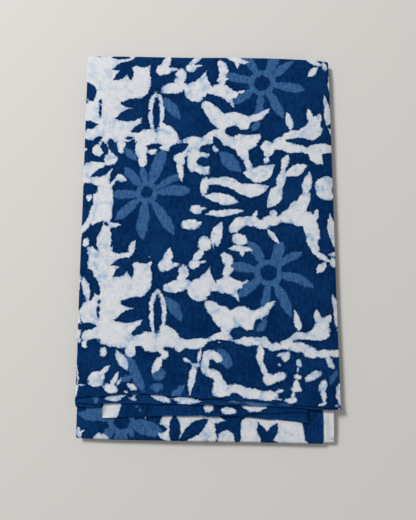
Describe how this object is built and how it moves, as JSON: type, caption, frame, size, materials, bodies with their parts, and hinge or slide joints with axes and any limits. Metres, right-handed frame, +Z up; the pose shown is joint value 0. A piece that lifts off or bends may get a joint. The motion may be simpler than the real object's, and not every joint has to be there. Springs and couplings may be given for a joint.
{
  "type": "folded block-printed cotton cloth",
  "caption": "Indigo block-printed cotton cloth, doubled and doubled again across its width and folded back and forth along its length into a flat pile.",
  "frame": {"origin": "centre of the flat underside of the folded pile", "axes": "+X across the pile towards the centre fold and selvedges, +Y along the pile away from the stepped cut end, +Z up"},
  "size_m": [0.2784, 0.427, 0.0138],
  "materials": {
    "printed_cotton": "matte plain-woven cotton, printed in indigo with blue flowers and undyed white ground"
  },
  "bodies": {
    "root": {"folded_cloth": "printed_cotton"}
  },
  "joints": []
}
